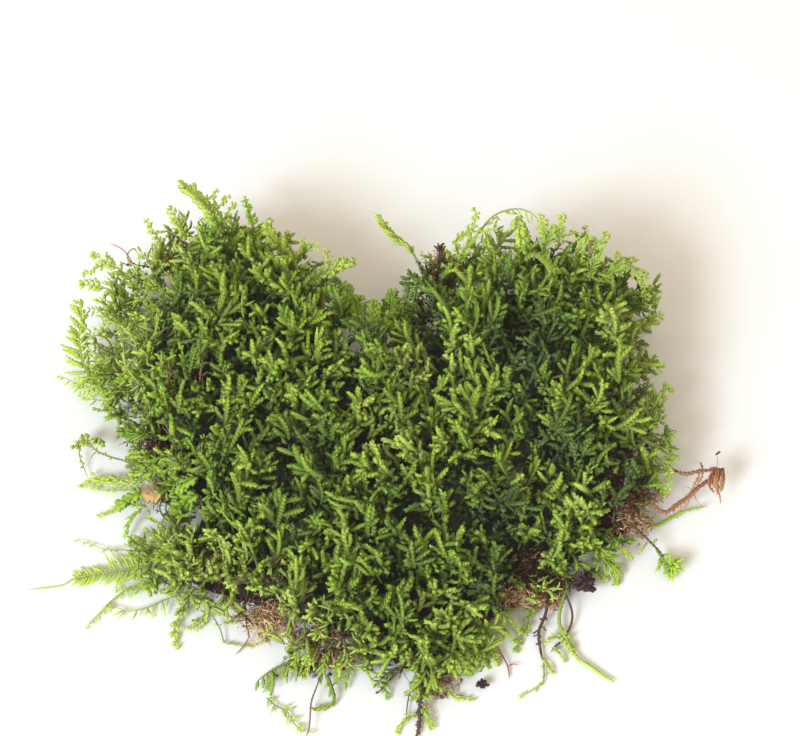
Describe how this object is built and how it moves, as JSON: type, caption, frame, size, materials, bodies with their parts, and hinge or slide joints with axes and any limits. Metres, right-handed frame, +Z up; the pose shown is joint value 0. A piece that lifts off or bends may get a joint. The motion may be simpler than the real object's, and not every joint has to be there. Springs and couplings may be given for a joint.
{
  "type": "moss clump",
  "caption": "Heart-shaped clump of feather moss: a spiky green cushion on a flat mat of dead brown moss, with loose shoots, stems, a dead twig and bits of humus around its rim.",
  "frame": {"origin": "centre of the footprint, on the flat underside that lies on the surface", "axes": "X to the right of the heart, Y from its front point towards its notch, Z up"},
  "size_m": [0.0924, 0.0746, 0.0195],
  "materials": {
    "living_moss": "living feather moss, yellow-green leafy tips over dark green, moist with small wet glints",
    "fresh_shoot": "fresh yellow-green leafy shoots, thin and slightly translucent",
    "brown_moss": "dead brown moss stems and rhizoids, dull and fibrous",
    "dark_stem": "dark olive to black wiry moss stems, slightly shiny",
    "red_stalk": "thin red-brown seta, smooth and slightly shiny",
    "dry_twig": "dead orange-brown moss twig, dry and matt",
    "dry_leaf": "dry tan scrap of leaf, papery",
    "humus": "dark crumbly bark and humus, matt"
  },
  "bodies": {
    "root": {"bark_chunk": "humus", "bit_brown_notch": "brown_moss", "brown_underlayer": "brown_moss", "dark_crumb": "humus", "dead_leaf": "dry_leaf", "frond_front_left_fork": "fresh_shoot", "frond_front_left_inner": "fresh_shoot", "frond_front_left_long": "fresh_shoot", "frond_left": "fresh_shoot", "frond_left_low": "fresh_shoot", "frond_right_lobe_arch": "fresh_shoot", "green_cushion": "living_moss", "shoot_back_left_low": "fresh_shoot", "shoot_back_left_tall": "fresh_shoot", "shoot_front_left": "fresh_shoot", "shoot_front_right_bright": "fresh_shoot", "shoot_front_tip": "fresh_shoot", "shoot_front_tuft": "fresh_shoot", "shoot_left_floor_back": "fresh_shoot", "shoot_left_floor_front": "fresh_shoot", "shoot_left_floor_middle": "fresh_shoot", "shoot_left_lobe_notch": "fresh_shoot", "shoot_left_lobe_second": "fresh_shoot", "shoot_left_lobe_tall": "fresh_shoot", "shoot_left_upper_middle": "fresh_shoot", "shoot_left_upper_outer": "fresh_shoot", "shoot_red_tip": "fresh_shoot", "shoot_right_edge_back": "fresh_shoot", "shoot_right_edge_middle": "fresh_shoot", "shoot_right_green": "fresh_shoot", "shoot_right_lobe_back": "fresh_shoot", "shoot_right_lobe_back_left": "fresh_shoot", "shoot_right_lobe_corner": "fresh_shoot", "sprig_front": "fresh_shoot", "sprig_notch": "fresh_shoot", "sprig_right_arch": "fresh_shoot", "sprig_right_front": "fresh_shoot", "stalk_red_front": "red_stalk", "stalk_red_left": "red_stalk", "stem_brown_hook": "brown_moss", "stem_front_brown": "brown_moss", "stem_front_dark_left": "dark_stem", "stem_front_dark_long": "dark_stem", "stem_front_dark_thin": "dark_stem", "stem_front_left_loop": "fresh_shoot", "stem_front_right_curl": "dark_stem", "stem_front_right_dark": "dark_stem", "stem_front_right_olive": "fresh_shoot", "stem_front_trailing": "fresh_shoot", "stem_left_arch": "fresh_shoot", "stem_left_lobe_loop": "brown_moss", "stem_red_front_left": "brown_moss", "stem_right_lobe_brown": "brown_moss", "stem_right_tuft": "fresh_shoot", "twig_dead_arm": "dry_twig", "twig_dead_leaf_fan": "dry_twig", "twig_dead_stalk": "dry_twig"}
  },
  "joints": []
}
